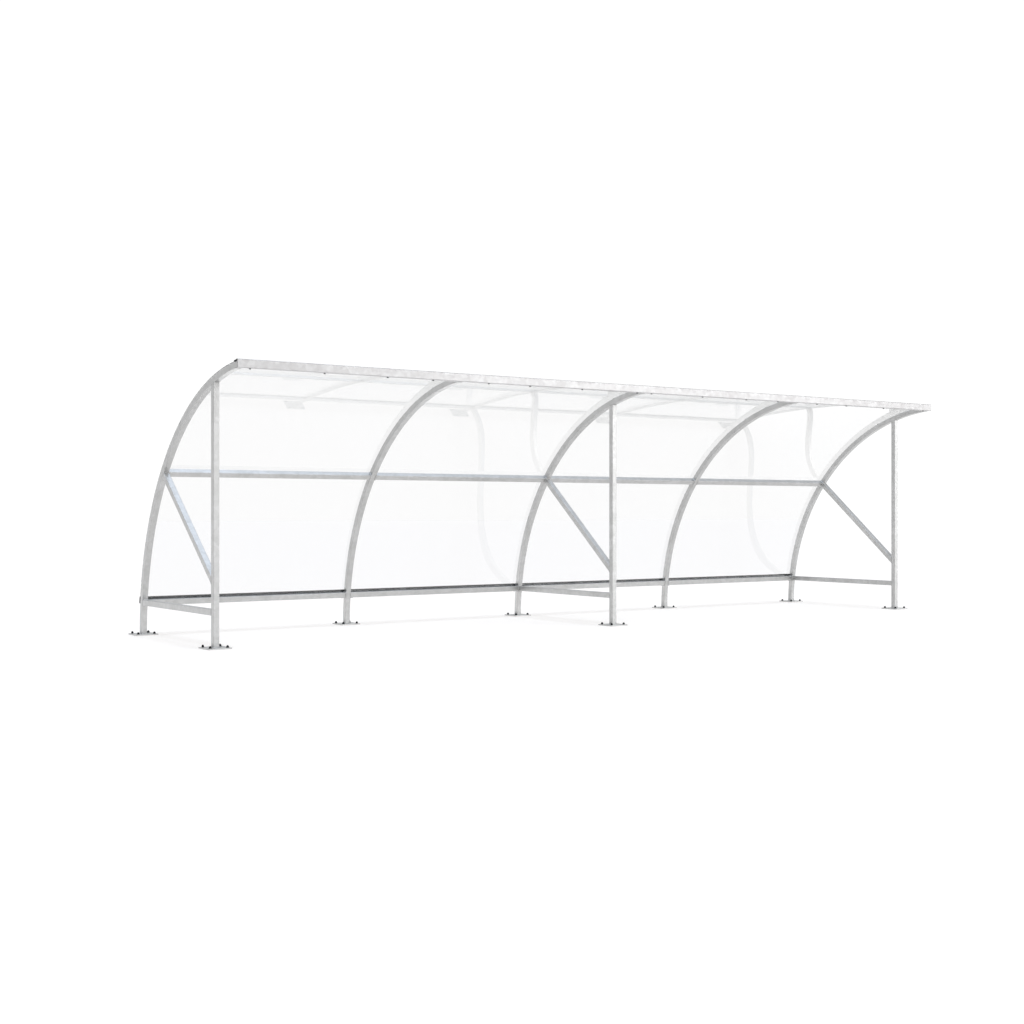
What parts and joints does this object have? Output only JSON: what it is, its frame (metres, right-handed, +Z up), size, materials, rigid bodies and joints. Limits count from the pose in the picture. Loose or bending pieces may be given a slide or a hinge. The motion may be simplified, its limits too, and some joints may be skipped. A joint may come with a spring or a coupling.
{
  "type": "curved open-front bike shelter",
  "caption": "Open-front bike shelter: bent square-tube arches on base plates carry clear curved sheets, with front posts, diagonal braces, rails and a folded front channel.",
  "frame": {"origin": "on the ground, under the middle of the shelter's length and depth", "axes": "+X along the shelter's length, -Y towards the open front, +Z up"},
  "size_m": [8.2, 2.136, 2.2291],
  "materials": {
    "galvanised_steel": "hot-dip galvanised, matt with a faint mottle",
    "clear_sheet": "clear, polished",
    "black_rubber": "matt black"
  },
  "bodies": {
    "root": {"arch_1": "galvanised_steel", "arch_2": "galvanised_steel", "arch_3": "galvanised_steel", "arch_4": "galvanised_steel", "arch_5": "galvanised_steel", "bottom_rail_1": "galvanised_steel", "bottom_rail_2": "galvanised_steel", "bottom_rail_3": "galvanised_steel", "bottom_rail_4": "galvanised_steel", "bottom_tie_1": "galvanised_steel", "bottom_tie_2": "galvanised_steel", "bottom_tie_3": "galvanised_steel", "clear_sheet_1": "clear_sheet", "clear_sheet_2": "clear_sheet", "clear_sheet_3": "clear_sheet", "clear_sheet_4": "clear_sheet", "diagonal_brace_1": "galvanised_steel", "diagonal_brace_2": "galvanised_steel", "diagonal_brace_3": "galvanised_steel", "fascia_channel_left": "galvanised_steel", "fascia_channel_right": "galvanised_steel", "front_base_plate_1": "galvanised_steel", "front_base_plate_2": "galvanised_steel", "front_base_plate_3": "galvanised_steel", "front_post_1": "galvanised_steel", "front_post_2": "galvanised_steel", "front_post_3": "galvanised_steel", "mid_rail_1": "galvanised_steel", "mid_rail_2": "galvanised_steel", "mid_rail_3": "galvanised_steel", "mid_rail_4": "galvanised_steel", "rear_base_plate_1": "galvanised_steel", "rear_base_plate_2": "galvanised_steel", "rear_base_plate_3": "galvanised_steel", "rear_base_plate_4": "galvanised_steel", "rear_base_plate_5": "galvanised_steel", "sheet_foot_channel": "black_rubber", "top_seal": "black_rubber"}
  },
  "joints": []
}
